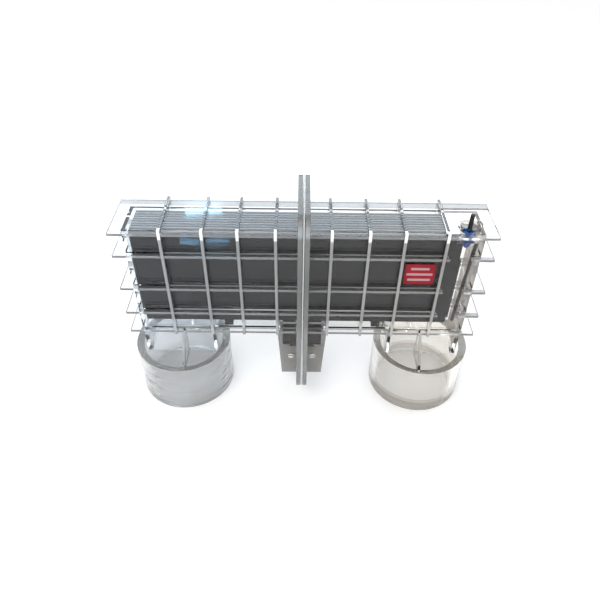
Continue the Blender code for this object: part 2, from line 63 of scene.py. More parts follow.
camera_data = bpy.data.cameras.new("camera")
camera_data.lens = 34.516
camera_data.sensor_width = 36.0
camera_data.clip_start = 0.01
camera = bpy.data.objects.new("camera", camera_data)
camera.matrix_world = (
    Matrix.Translation(CAMERA_PLACE)
    @ Matrix.Rotation(math.radians(CAMERA_HEADING), 4, "Z")
    @ Matrix.Rotation(math.radians(90 - CAMERA_DOWN), 4, "X")
    @ Matrix.Rotation(math.radians(CAMERA_ROLL), 4, "Z")
)
bpy.context.scene.collection.objects.link(camera)
bpy.context.scene.camera = camera


# ---------------------------------------------------------------- studio
# A white sheet under the cell in a bright white room, with a large softbox above and in front, a
# cooler one behind, a small blue one high behind the left half like a window, and two narrow blue
# strips that lie on the sheet in front.

LIGHT_BOUNCES = 24
WINDOW_BLUE = (0.42, 0.74, 1.0)
STRIP_BLUE = (0.25, 0.62, 1.0)

scene = bpy.context.scene
scene.view_settings.view_transform = "Standard"
scene.cycles.max_bounces = LIGHT_BOUNCES
scene.cycles.transmission_bounces = LIGHT_BOUNCES
scene.cycles.transparent_max_bounces = LIGHT_BOUNCES

room = bpy.data.worlds.new("studio")
scene.world = room
room.use_nodes = True
room.node_tree.nodes["Background"].inputs["Color"].default_value = (1.0, 1.0, 1.0, 1.0)
room.node_tree.nodes["Background"].inputs["Strength"].default_value = 0.85


def softbox(name, place, target, size, watts, colour):
    """A rectangular area light at a place, facing a target, both in metres."""
    data = bpy.data.lights.new(name, "AREA")
    data.shape = "RECTANGLE"
    data.size, data.size_y = size
    data.energy = watts
    data.color = colour
    light = bpy.data.objects.new(name, data)
    turn = (Vector(target) - Vector(place)).to_track_quat("-Z", "Y").to_matrix().to_4x4()
    light.matrix_world = Matrix.Translation(place) @ turn
    light.visible_camera = False
    scene.collection.objects.link(light)


softbox("key", (-0.30, -0.50, 0.85), (0.0, 0.0, 0.08), (0.6, 0.4), 3.5, (1.0, 0.99, 0.97))
softbox("rear", (0.10, 0.75, 0.60), (0.0, 0.0, 0.12), (1.6, 0.3), 3.6, (0.78, 0.90, 1.0))
softbox("window", (-0.161, 0.490, 0.456), (-0.0674, 0.013, 0.1526), (0.06, 0.028), 0.045, WINDOW_BLUE)
softbox("table_far", (-0.103, -0.207, 0.004), (-0.103, -0.207, 1.0), (0.052, 0.008), 0.0085, STRIP_BLUE)
softbox("table_near", (-0.096, -0.187, 0.004), (-0.096, -0.187, 1.0), (0.040, 0.006), 0.0062, STRIP_BLUE)

REACH = 3.0
FLOOR_LEVEL = -0.0002
floor_mesh = bpy.data.meshes.new("floor")
corners = [(-REACH, -REACH), (REACH, -REACH), (REACH, REACH), (-REACH, REACH)]
floor_mesh.from_pydata([(x, y, FLOOR_LEVEL) for x, y in corners], [], [(0, 1, 2, 3)])
floor = bpy.data.objects.new("floor", floor_mesh)
scene.collection.objects.link(floor)
paper = bpy.data.materials.new("white_paper")
paper.use_nodes = True
paper_shader = paper.node_tree.nodes["Principled BSDF"]
paper_shader.inputs["Base Color"].default_value = (0.97, 0.97, 0.97, 1.0)
paper_shader.inputs["Roughness"].default_value = 0.9
paper_shader.inputs["Specular IOR Level"].default_value = 0.1
paper_shader.inputs["Emission Color"].default_value = (1.0, 1.0, 1.0, 1.0)
paper_shader.inputs["Emission Strength"].default_value = 0.14
floor_mesh.materials.append(paper)


# ---------------------------------------------------------------- housing halves
# Two injection mouldings in clear plastic, glued at the flange. The panels are polished; the tips
# of the ribs and fins, which the mould can't polish, come out satin and catch the light. The top
# front corners of the ribs are painted opaque white, a painted highlight for their glint.

BOX_HALF_DEPTH = 0.0144
BOX_HALF_LENGTH = 0.1164
BOX_TOP = 0.1526
BOX_BOTTOM = 0.0655
SOCKET_TOP = 0.0425


def new_group(name, inputs, outputs):
    """A shader node group with named sockets: inputs as (name, type, value), outputs as (name, type)."""
    group = bpy.data.node_groups.new(name, "ShaderNodeTree")
    for label, kind, value in inputs:
        socket = group.interface.new_socket(label, in_out="INPUT", socket_type="NodeSocket" + kind)
        if value is not None:
            socket.default_value = value
    for label, kind in outputs:
        group.interface.new_socket(label, in_out="OUTPUT", socket_type="NodeSocket" + kind)
    return group, group.nodes.new("NodeGroupInput"), group.nodes.new("NodeGroupOutput")


def math_node(tree, operation, first, second=0.5, third=0.0):
    """A Math node with its inputs linked or set, and its output."""
    node = tree.nodes.new("ShaderNodeMath")
    node.operation = operation
    for socket, value in zip(node.inputs, (first, second, third)):
        if isinstance(value, bpy.types.NodeSocket):
            tree.links.new(value, socket)
        else:
            socket.default_value = value
    return node.outputs[0]


def noise_node(tree, vector, scale, detail=3.0, roughness=0.5):
    """A noise texture on the given coordinates, and its Fac output."""
    node = tree.nodes.new("ShaderNodeTexNoise")
    node.inputs["Scale"].default_value = scale
    node.inputs["Detail"].default_value = detail
    node.inputs["Roughness"].default_value = roughness
    tree.links.new(vector, node.inputs["Vector"])
    return node.outputs["Fac"]


def ramp_node(tree, value, low, high, low_result=0.0, high_result=1.0):
    """A smooth step: low_result below low, high_result above high."""
    node = tree.nodes.new("ShaderNodeMapRange")
    node.interpolation_type = "SMOOTHSTEP"
    node.inputs["From Min"].default_value = low
    node.inputs["From Max"].default_value = high
    node.inputs["To Min"].default_value = low_result
    node.inputs["To Max"].default_value = high_result
    tree.links.new(value, node.inputs["Value"])
    return node.outputs["Result"]


def mix_node(tree, factor, first, second, blend="MIX"):
    """A colour mix, with each input linked or set, and its output."""
    node = tree.nodes.new("ShaderNodeMix")
    node.data_type = "RGBA"
    node.blend_type = blend
    for index, value in ((0, factor), (6, first), (7, second)):
        if isinstance(value, bpy.types.NodeSocket):
            tree.links.new(value, node.inputs[index])
        else:
            node.inputs[index].default_value = value if index == 0 else (*value, 1.0)
    return node.outputs[2]


# Painted light colour: the plastic is tinted cool at the left end and warm at the right, standing in for the
# bluer light that falls on the left half.
PAINTED_COOL_LIGHT_END = (0.955, 0.975, 1.0)
PAINTED_WARM_LIGHT_END = (1.0, 0.975, 0.945)
FOOT_BAND = (0.0085, 0.0095)


def moulded_surface_group():
    """Clear plastic as it leaves the mould: a faint cast in patches, slow waves from the flow of
    the melt, and fine handling scratches. A painted light colour runs along it, cool at the left
    end and warm at the right, and it is greyer in a band at the sockets' rims."""
    group, given, gives = new_group(
        "moulded_surface",
        [
            ("Tint", "Color", (0.93, 0.93, 0.93, 1.0)),
            ("Cast", "Color", (0.90, 0.90, 0.90, 1.0)),
            ("Haze", "Float", 0.05),
            ("Foot", "Color", (1.0, 1.0, 1.0, 1.0)),
        ],
        [("Color", "Color"), ("Roughness", "Float"), ("Height", "Float")],
    )
    at = group.nodes.new("ShaderNodeTexCoord").outputs["Object"]
    place = group.nodes.new("ShaderNodeSeparateXYZ")
    group.links.new(at, place.inputs["Vector"])
    along = ramp_node(group, place.outputs["X"], -0.10, 0.11)
    # Painted light: the cool-to-warm tint along X.
    painted_light_tint = mix_node(group, along, PAINTED_COOL_LIGHT_END, PAINTED_WARM_LIGHT_END)
    near_rim = ramp_node(group, place.outputs["Z"], *FOOT_BAND, 1.0, 0.0)
    foot = mix_node(group, near_rim, (1.0, 1.0, 1.0), given.outputs["Foot"])
    patches = ramp_node(group, noise_node(group, at, 28.0, 2.0), 0.35, 0.65)
    flow = group.nodes.new("ShaderNodeMapping")
    flow.inputs["Scale"].default_value = (22.0, 90.0, 190.0)
    group.links.new(at, flow.inputs["Vector"])
    waves = noise_node(group, flow.outputs["Vector"], 1.0, 1.5)
    stretch = group.nodes.new("ShaderNodeMapping")
    stretch.inputs["Scale"].default_value = (40.0, 320.0, 260.0)
    group.links.new(at, stretch.inputs["Vector"])
    scratches = ramp_node(group, noise_node(group, stretch.outputs["Vector"], 1.0, 2.0), 0.62, 0.75)
    cast = mix_node(group, patches, given.outputs["Tint"], given.outputs["Cast"])
    tint_with_painted_light = mix_node(group, 1.0, cast, painted_light_tint, "MULTIPLY")
    group.links.new(mix_node(group, 1.0, tint_with_painted_light, foot, "MULTIPLY"), gives.inputs["Color"])
    rough = math_node(group, "MULTIPLY_ADD", scratches, 0.03, given.outputs["Haze"])
    group.links.new(math_node(group, "MULTIPLY_ADD", patches, 0.02, rough), gives.inputs["Roughness"])
    group.links.new(waves, gives.inputs["Height"])
    return group


moulded_surface = moulded_surface_group()


def surfaced(name, surface, look, shader_values, strength=0.12, distance=0.0005):
    """A material: a surface group with the given look feeds colour, roughness and bump, and the
    shader's other sockets are set from shader_values."""
    material = bpy.data.materials.new(name)
    material.use_nodes = True
    tree = material.node_tree
    shader = tree.nodes["Principled BSDF"]
    detail = tree.nodes.new("ShaderNodeGroup")
    detail.node_tree = surface
    for label, value in look.items():
        detail.inputs[label].default_value = (*value, 1.0) if isinstance(value, tuple) else value
    bump = tree.nodes.new("ShaderNodeBump")
    bump.inputs["Strength"].default_value = strength
    bump.inputs["Distance"].default_value = distance
    tree.links.new(detail.outputs["Height"], bump.inputs["Height"])
    tree.links.new(detail.outputs["Color"], shader.inputs["Base Color"])
    tree.links.new(detail.outputs["Roughness"], shader.inputs["Roughness"])
    tree.links.new(bump.outputs["Normal"], shader.inputs["Normal"])
    for label, value in shader_values.items():
        shader.inputs[label].default_value = value
    return material


def plastic(
    name, tint, cast, haze, transmission, specular=0.5, foot=(1.0, 1.0, 1.0), ior=1.49, wave=0.12
):
    """A clear or satin plastic, which lets the given share of the light through."""
    return surfaced(
        name,
        moulded_surface,
        {"Tint": tint, "Cast": cast, "Haze": haze, "Foot": foot},
        {"IOR": ior, "Specular IOR Level": specular, "Transmission Weight": transmission},
        wave,
    )


RIM_GREY = (0.62, 0.60, 0.57)
clear_panels = plastic("clear_panels", (0.93, 0.935, 0.94), (0.91, 0.915, 0.91), 0.03, 1.0, 0.2, ior=1.38)
satin_ribs = plastic("satin_ribs", (0.60, 0.61, 0.61), (0.50, 0.51, 0.51), 0.30, 0.48)
satin_fins = plastic("satin_fins", (0.62, 0.64, 0.66), (0.54, 0.56, 0.57), 0.25, 0.68)
satin_rim = plastic("satin_rim", (0.38, 0.39, 0.39), (0.31, 0.32, 0.32), 0.25, 0.55, 0.3)
# Painted highlight: the ribs' top front corners are opaque white, standing in for the glint of the key light
# on their rounded corners.
painted_highlight_corners = plastic("painted_highlight_corners", (1.0, 1.0, 1.0), (0.98, 0.99, 1.0), 0.20, 0.0)
back_fins = plastic("back_fins", (0.40, 0.42, 0.45), (0.36, 0.38, 0.40), 0.15, 0.55, 0.2)
pocket_walls = plastic("pocket_walls", (0.36, 0.35, 0.335), (0.30, 0.29, 0.28), 0.30, 0.45, 0.3)
boss_tube = plastic("boss_tube", (0.96, 0.97, 0.98), (0.94, 0.95, 0.96), 0.04, 1.0, 0.3, ior=1.12)
socket_rims = plastic("socket_rims", (0.74, 0.73, 0.70), (0.68, 0.67, 0.64), 0.25, 0.50, 0.3)
end_haze = plastic("end_haze", (0.66, 0.61, 0.585), (0.58, 0.54, 0.52), 0.22, 0.62, 0.3)
left_socket = plastic(
    "left_socket", (0.82, 0.82, 0.82), (0.74, 0.74, 0.73), 0.10, 0.92, 0.3, (0.92, 0.91, 0.90), wave=0.9
)
right_socket = plastic("right_socket", (0.965, 0.965, 0.96), (0.95, 0.95, 0.94), 0.03, 1.0, 0.3, RIM_GREY)


def face_places(mesh):
    """The centre and normal of every face, as two arrays."""
    centres = np.empty(len(mesh.polygons) * 3, np.float32)
    normals = np.empty(len(mesh.polygons) * 3, np.float32)
    mesh.polygons.foreach_get("center", centres)
    mesh.polygons.foreach_get("normal", normals)
    return centres.reshape(-1, 3), normals.reshape(-1, 3)


WELD_DISTANCE = 2e-6
CUT_DISTANCE = 1e-7
FLAT_ANGLE = math.radians(0.5)
CORNER_ANGLE = math.radians(40)
SHADING_ANGLE = math.radians(25)


def merged_copy(name, node, width, is_rounded=None, is_round=None, segments=2, cuts=()):
    """The node's mesh as a new object, its loose triangles merged into flat faces. The convex edges
    whose midpoints is_rounded accepts get a rounding of the given width, and the faces whose
    centres and normals is_round accepts are smooth. Its faces are divided at the planes in cuts,
    each a point and a direction."""
    bm = bmesh.new()
    bm.from_mesh(nodes[node].data)
    bmesh.ops.remove_doubles(bm, verts=bm.verts, dist=WELD_DISTANCE)
    bmesh.ops.dissolve_limit(bm, angle_limit=FLAT_ANGLE, verts=bm.verts, edges=bm.edges)
    sharp = [e for e in bm.edges if e.is_manifold and e.calc_face_angle_signed() > CORNER_ANGLE]
    if sharp and is_rounded is not None:
        middles = np.array([(e.verts[0].co + e.verts[1].co) / 2 for e in sharp])
        sharp = [edge for edge, wanted in zip(sharp, is_rounded(middles)) if wanted]
    if sharp:
        bmesh.ops.bevel(
            bm, geom=sharp, offset=width, segments=segments, profile=0.5, affect="EDGES", clamp_overlap=False
        )
    for point, direction in cuts:
        whole = bm.verts[:] + bm.edges[:] + bm.faces[:]
        bmesh.ops.bisect_plane(bm, geom=whole, plane_co=point, plane_no=direction, dist=CUT_DISTANCE)
    mesh = bpy.data.meshes.new(name)
    bm.to_mesh(mesh)
    bm.free()
    mesh.shade_smooth()
    mesh.set_sharp_from_angle(angle=SHADING_ANGLE)
    if is_round is not None:
        mesh.polygons.foreach_set("use_smooth", is_round(*face_places(mesh)))
    piece = bpy.data.objects.new(name, mesh)
    scene.collection.objects.link(piece)
    return piece


def finish_piece(piece, materials, body, slot, *replaced):
    """Gives a piece its materials and its place in the assembly."""
    for material in materials:
        piece.data.materials.append(material)
    if replaced:
        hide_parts(*replaced)
    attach(piece, body)


SOCKET_X = 0.0915
SOCKET_RADII = (0.0302, 0.0357)
TIP_CLEARANCE = 0.0030
TOP_RIBS = (0.006, 0.097)
ON_WALL = 0.0003
SQUARE_ON = 0.9995


def at_tips(middles):
    """True for the edges at the tips of the ribs, fins and leaves, clear of the box and sockets."""
    x, y, z = np.abs(middles[:, 0]), np.abs(middles[:, 1]), middles[:, 2]
    clear = BOX_HALF_DEPTH + TIP_CLEARANCE
    grid = (z > SOCKET_TOP + 0.0050) & ((y > clear) | (x > BOX_HALF_LENGTH + TIP_CLEARANCE))
    return grid | (z > BOX_TOP + 0.0019) & (x > TOP_RIBS[0]) & (x < TOP_RIBS[1])


def on_cylinders(centres, normals):
    """True for the faces of the sockets' walls and of other turned or rounded shapes."""
    from_axis = np.hypot(np.abs(centres[:, 0]) - SOCKET_X, centres[:, 1])
    level = np.abs(normals[:, 2]) < 0.1
    wall = np.any([np.abs(from_axis - r) < ON_WALL for r in SOCKET_RADII], axis=0)
    slanted = np.max(np.abs(normals), axis=1) < SQUARE_ON
    return (wall & level) | slanted


FLANGE_OUTSIDE = 0.0041
POCKET_OUTSIDE = 0.0185
GASKET_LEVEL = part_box("terminal_seal_left")[0][2]
ROOT = 0.0157
SENSOR_AXIS = [(low + high) / 2 for low, high in zip(*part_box("sensor_bung"))]
END_WALL = 0.1136
BOSS_RADIUS = 0.0081
BOSS_LOW = 0.1430
RIB_TIP = 0.0190
PAINTED_HIGHLIGHT_LOW = 0.1482
BACK_RIB_TIP = 0.0222
FIN_TIP = 0.0183
BACK_FIN_TIP = 0.0215
END_FIN_TIP = 0.0070
POCKET_HALF_DEPTH = 0.0120
PAST_POCKETS = 0.03
SKIN = 0.0002
LEVEL = 0.9
PANEL, RIB, FIN, RIM, PAINTED_HIGHLIGHT, BACK_FIN, SOCKET, POCKET, FOOT, BOSS, END = range(11)

for word, socket_finish in (("left", left_socket), ("right", right_socket)):
    roots = [((0.0, -ROOT, 0.0), (0.0, 1.0, 0.0)), ((0.0, ROOT, 0.0), (0.0, 1.0, 0.0))]
    roots.append(((0.0, 0.0, GASKET_LEVEL), (0.0, 0.0, 1.0)))
    roots.append(((0.0, 0.0, PAINTED_HIGHLIGHT_LOW), (0.0, 0.0, 1.0)))
    shell = merged_copy("shell_" + word, "housing_" + word, 0.0003, at_tips, on_cylinders, cuts=roots)
    centres, normals = face_places(shell.data)
    x, y, z = np.abs(centres[:, 0]), np.abs(centres[:, 1]), centres[:, 2]
    front = centres[:, 1] < 0.0
    across = np.abs(normals[:, 0]) > LEVEL
    grid = (z > SOCKET_TOP + 0.004) & (x > FLANGE_OUTSIDE) & ((z > BOX_BOTTOM) | (x > POCKET_OUTSIDE))
    beyond = grid & (y > BOX_HALF_DEPTH + SKIN)
    kind = np.full(len(centres), PANEL, np.int32)
    kind[beyond & (y < ROOT) & (normals[:, 2] > LEVEL) & front] = RIB
    kind[grid & (normals[:, 2] > LEVEL) & ((y > BOX_HALF_DEPTH) & ~front)] = BACK_FIN
    kind[beyond & ~across & (y > np.where(front, FIN_TIP, BACK_FIN_TIP))] = FIN
    kind[beyond & ~across & (y > np.where(front, RIB_TIP, BACK_RIB_TIP))] = RIB
    kind[grid & ~across & (x > BOX_HALF_LENGTH + END_FIN_TIP)] = FIN
    # Painted highlight on the ribs' top front corners.
    kind[beyond & ((z > BOX_TOP + 0.0001) | (z > PAINTED_HIGHLIGHT_LOW) & (y > RIB_TIP)) & front] = PAINTED_HIGHLIGHT
    kind[(x < FLANGE_OUTSIDE) & ~across] = RIM
    if word == "right":
        kind[grid & (normals[:, 2] > LEVEL) & (x > BOX_HALF_LENGTH)] = BACK_FIN
        kind[grid & across & (x > END_WALL) & (x < BOX_HALF_LENGTH + SKIN)] = END
    pocket = (x > FLANGE_OUTSIDE) & (x < POCKET_OUTSIDE) & (z < GASKET_LEVEL)
    kind[pocket & (y > POCKET_HALF_DEPTH) & (np.abs(normals[:, 1]) > 0.5)] = POCKET
    kind[(z < SOCKET_TOP + 0.001) & (x > PAST_POCKETS)] = SOCKET
    kind[(z < 0.0005) & (x > PAST_POCKETS)] = FOOT
    shell_finishes = [clear_panels, satin_ribs, satin_fins, satin_rim, painted_highlight_corners, back_fins]
    from_sensor = np.hypot(centres[:, 0] - SENSOR_AXIS[0], centres[:, 1] - SENSOR_AXIS[1])
    kind[(from_sensor < BOSS_RADIUS) & (z > BOSS_LOW)] = BOSS
    shell_finishes += [socket_finish, pocket_walls, socket_rims, boss_tube, end_haze]
    finish_piece(shell, shell_finishes, "cell", "clear", "housing_" + word)
    shell.data.polygons.foreach_set("material_index", kind)
    shell.data.update()


# ---------------------------------------------------------------- flange seal
# A bead of clear sealing adhesive, squeezed flat between the two flanges and cured slightly
# milky. It shows as a paler line down the middle of the joint.


def dress(material, *names):
    """Gives CAD nodes a finish in place of the one that they were packed with."""
    for name in names:
        nodes[name].data.materials.clear()
        nodes[name].data.materials.append(material)


milky_seal = surfaced(
    "milky_seal",
    moulded_surface,
    {"Tint": (0.86, 0.87, 0.88), "Cast": (0.78, 0.80, 0.81), "Haze": 0.24},
    {"IOR": 1.44, "Specular IOR Level": 0.4, "Transmission Weight": 0.35},
    0.3,
)
dress(milky_seal, "flange_seal")


# ---------------------------------------------------------------- electrode plates
# Nine titanium sheets, 1 mm thick. The five anodes carry a baked oxide coating, nearly black, and
# the cathodes are bare. Both were sheared to size, so that their edges are bright bare metal.


def rolled_sheet_group():
    """Sheet metal with a skin: cloudy patches, the fine streaks of rolling along X, and a bright
    metal colour wherever the face looks sideways out of the sheet."""
    group, given, gives = new_group(
        "rolled_sheet",
        [
            ("Skin", "Color", (0.03, 0.03, 0.04, 1.0)),
            ("Cloud", "Color", (0.04, 0.04, 0.05, 1.0)),
            ("Edge", "Color", (0.5, 0.5, 0.5, 1.0)),
            ("Dullness", "Float", 0.5),
        ],
        [("Color", "Color"), ("Roughness", "Float"), ("Height", "Float")],
    )
    at = group.nodes.new("ShaderNodeTexCoord")
    clouds = ramp_node(group, noise_node(group, at.outputs["Object"], 45.0, 5.0, 0.6), 0.30, 0.70)
    stretch = group.nodes.new("ShaderNodeMapping")
    stretch.inputs["Scale"].default_value = (40.0, 1.0, 450.0)
    group.links.new(at.outputs["Object"], stretch.inputs["Vector"])
    streaks = noise_node(group, stretch.outputs["Vector"], 1.0, 3.0)
    direction = group.nodes.new("ShaderNodeSeparateXYZ")
    group.links.new(at.outputs["Normal"], direction.inputs["Vector"])
    facing = math_node(group, "ABSOLUTE", direction.outputs["Y"])
    edge = ramp_node(group, facing, 0.4, 0.6, 1.0, 0.0)
    skin = mix_node(group, clouds, given.outputs["Skin"], given.outputs["Cloud"])
    group.links.new(mix_node(group, edge, skin, given.outputs["Edge"]), gives.inputs["Color"])
    rough = math_node(group, "MULTIPLY_ADD", streaks, 0.15, given.outputs["Dullness"])
    group.links.new(math_node(group, "MULTIPLY_ADD", edge, -0.15, rough), gives.inputs["Roughness"])
    group.links.new(streaks, gives.inputs["Height"])
    return group


rolled_sheet = rolled_sheet_group()
coated_anode = surfaced(
    "coated_anode",
    rolled_sheet,
    {
        "Skin": (0.010, 0.011, 0.016),
        "Cloud": (0.017, 0.017, 0.021),
        "Edge": (0.26, 0.30, 0.35),
        "Dullness": 0.45,
    },
    {"Specular IOR Level": 0.08},
    0.10,
    0.0002,
)
bare_cathode = surfaced(
    "bare_cathode",
    rolled_sheet,
    {
        "Skin": (0.045, 0.047, 0.052),
        "Cloud": (0.065, 0.065, 0.070),
        "Edge": (0.32, 0.35, 0.39),
        "Dullness": 0.35,
    },
    {"Specular IOR Level": 0.3},
    0.25,
    0.0002,
)
dress(coated_anode, *("anode_plate_%d" % number for number in range(1, 6)))
dress(bare_cathode, *("cathode_plate_%d" % number for number in range(1, 5)))


# ---------------------------------------------------------------- plate combs
# Slotted strips of dark polypropylene that keep the plates apart: two under the pack, clipped
# into the floor of the box, and one at each end.


def grained_polymer_group():
    """Moulded or cut polymer: blotches of a second colour, a fine grain, and a paler colour in
    patches on the faces that look up: pale dust where it settles, and a painted highlight on the
    sensor's bung."""
    group, given, gives = new_group(
        "grained_polymer",
        [
            ("Body", "Color", (0.02, 0.02, 0.02, 1.0)),
            ("Blotch", "Color", (0.03, 0.03, 0.03, 1.0)),
            ("Dust_and_painted_highlight", "Color", (0.20, 0.20, 0.19, 1.0)),
            ("Dust_and_painted_highlight_share", "Float", 0.2),
            ("Dullness", "Float", 0.5),
            ("Grain", "Float", 2500.0),
        ],
        [("Color", "Color"), ("Roughness", "Float"), ("Height", "Float")],
    )
    at = group.nodes.new("ShaderNodeTexCoord")
    blotches = ramp_node(group, noise_node(group, at.outputs["Object"], 140.0, 4.0), 0.35, 0.65)
    grain = group.nodes.new("ShaderNodeTexNoise")
    grain.inputs["Detail"].default_value = 2.0
    group.links.new(at.outputs["Object"], grain.inputs["Vector"])
    group.links.new(given.outputs["Grain"], grain.inputs["Scale"])
    direction = group.nodes.new("ShaderNodeSeparateXYZ")
    group.links.new(at.outputs["Normal"], direction.inputs["Vector"])
    up = ramp_node(group, direction.outputs["Z"], 0.5, 1.0)
    # On most polymers this is dust; on the blue bung it is a painted highlight on its upward faces.
    settled_dust_and_painted_highlight = math_node(group, "MULTIPLY", up, noise_node(group, at.outputs["Object"], 420.0, 4.0))
    dust_and_painted_highlight_mask = math_node(group, "MULTIPLY", settled_dust_and_painted_highlight, given.outputs["Dust_and_painted_highlight_share"])
    body = mix_node(group, blotches, given.outputs["Body"], given.outputs["Blotch"])
    group.links.new(mix_node(group, dust_and_painted_highlight_mask, body, given.outputs["Dust_and_painted_highlight"]), gives.inputs["Color"])
    rough = math_node(group, "MULTIPLY_ADD", grain.outputs["Fac"], 0.12, given.outputs["Dullness"])
    group.links.new(math_node(group, "MULTIPLY_ADD", dust_and_painted_highlight_mask, 0.3, rough), gives.inputs["Roughness"])
    group.links.new(grain.outputs["Fac"], gives.inputs["Height"])
    return group


grained_polymer = grained_polymer_group()
dark_comb = surfaced(
    "dark_comb",
    grained_polymer,
    {"Body": (0.022, 0.022, 0.024), "Blotch": (0.032, 0.032, 0.034), "Dust_and_painted_highlight_share": 0.1, "Dullness": 0.4},
    {"Specular IOR Level": 0.2},
    0.2,
    0.0001,
)
dress(dark_comb, "bottom_comb_left", "bottom_comb_right", "end_comb_left", "end_comb_right")


# ---------------------------------------------------------------- busbars and posts
# Bare titanium: two flat bars welded across the plates' tabs, and a turned post under each, which
# takes the supply lead. They are brushed, with straw and blue heat tints near the welds.


def worked_metal_group():
    """Brushed or turned metal: hair lines across its length, cloudy oxide tints and a few dull
    finger marks."""
    group, given, gives = new_group(
        "worked_metal",
        [
            ("Metal", "Color", (0.5, 0.5, 0.5, 1.0)),
            ("Oxide", "Color", (0.4, 0.38, 0.36, 1.0)),
            ("Dullness", "Float", 0.3),
        ],
        [("Color", "Color"), ("Roughness", "Float"), ("Height", "Float")],
    )
    at = group.nodes.new("ShaderNodeTexCoord").outputs["Object"]
    stretch = group.nodes.new("ShaderNodeMapping")
    stretch.inputs["Scale"].default_value = (150.0, 150.0, 5200.0)
    group.links.new(at, stretch.inputs["Vector"])
    lines = noise_node(group, stretch.outputs["Vector"], 1.0, 3.0, 0.7)
    tints = ramp_node(group, noise_node(group, at, 210.0, 3.0), 0.40, 0.70)
    marks = ramp_node(group, noise_node(group, at, 90.0, 2.0), 0.55, 0.75)
    colour = mix_node(group, tints, given.outputs["Metal"], given.outputs["Oxide"])
    group.links.new(colour, gives.inputs["Color"])
    rough = math_node(group, "MULTIPLY_ADD", lines, 0.15, given.outputs["Dullness"])
    group.links.new(math_node(group, "MULTIPLY_ADD", marks, 0.15, rough), gives.inputs["Roughness"])
    group.links.new(lines, gives.inputs["Height"])
    return group


worked_metal = worked_metal_group()
brushed_titanium = surfaced(
    "brushed_titanium",
    worked_metal,
    {"Metal": (0.46, 0.45, 0.44), "Oxide": (0.38, 0.34, 0.31), "Dullness": 0.28},
    {"Metallic": 1.0},
    0.2,
    0.0001,
)
dress(brushed_titanium, "anode_busbar", "cathode_busbar")


def turned_upright(centres, normals):
    """True for the faces of an upright shape except its level ends."""
    return np.abs(normals[:, 2]) < LEVEL


for word in ("left", "right"):
    post = merged_copy("post_" + word, "terminal_post_" + word, 0.0003, None, turned_upright, 3)
    finish_piece(post, [brushed_titanium], "cell", "titanium", "terminal_post_" + word)


# ---------------------------------------------------------------- terminal blocks and seals
# Each busbar sits on a black glass-filled block, which is pressed down on a thick rubber gasket
# over the pocket that keeps water off the terminal.

black_block = surfaced(
    "black_block",
    grained_polymer,
    {"Body": (0.012, 0.012, 0.013), "Blotch": (0.020, 0.020, 0.020), "Dust_and_painted_highlight_share": 0.1, "Dullness": 0.45},
    {"Specular IOR Level": 0.1},
    0.3,
    0.0001,
)
gasket_rubber = surfaced(
    "gasket_rubber",
    grained_polymer,
    {
        "Body": (0.008, 0.008, 0.008),
        "Blotch": (0.014, 0.014, 0.013),
        "Dust_and_painted_highlight_share": 0.1,
        "Dullness": 0.7,
        "Grain": 4000.0,
    },
    {"Specular IOR Level": 0.08},
    0.4,
    0.0001,
)
for word in ("left", "right"):
    block = merged_copy("block_" + word, "terminal_block_" + word, 0.0007, None, turned_upright, 3)
    finish_piece(block, [black_block], "cell", "black", "terminal_block_" + word)
    gasket = merged_copy("gasket_" + word, "terminal_seal_" + word, 0.0006, None, turned_upright, 3)
    finish_piece(gasket, [gasket_rubber], "cell", "black_rubber", "terminal_seal_" + word)


# ---------------------------------------------------------------- clamp screws
# A slotted cheese-head screw of stainless steel in the front of each pocket clamps the lead to
# its post. It turns, so it is a body of its own.


def turned_level(centres, normals):
    """True for the faces of a shape turned about an axis along Y, its flat ends left out."""
    return np.abs(normals[:, 1]) < LEVEL


bright_steel = surfaced(
    "bright_steel",
    worked_metal,
    {"Metal": (0.66, 0.65, 0.63), "Oxide": (0.52, 0.50, 0.47), "Dullness": 0.18},
    {"Metallic": 1.0},
    0.15,
    0.0001,
)
for word in ("left", "right"):
    screw = merged_copy("screw_" + word, "clamp_screw_" + word, 0.00018, None, turned_level, 3)
    finish_piece(screw, [bright_steel], "screw_" + word, "steel", "clamp_screw_" + word)


# ---------------------------------------------------------------- sensor
# A blue rubber bung with sealing rings round its taper, pushed down into the boss in the top of
# the right half. It holds the black stem of the sensor, and both pull out together.

(bung_west, _, BUNG_LOW), (bung_east, _, BUNG_HIGH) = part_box("sensor_bung")
SENSOR_X, SENSOR_Y = SENSOR_AXIS[:2]
BUNG_RADII = (0.0018, (bung_east - bung_west) / 2)
SEALING_RINGS = 5.0
GROOVE_DEPTH = 0.00028
BUNG_ROUNDING = 0.0004
HOLLOW_FLOOR = BUNG_HIGH - 0.0026


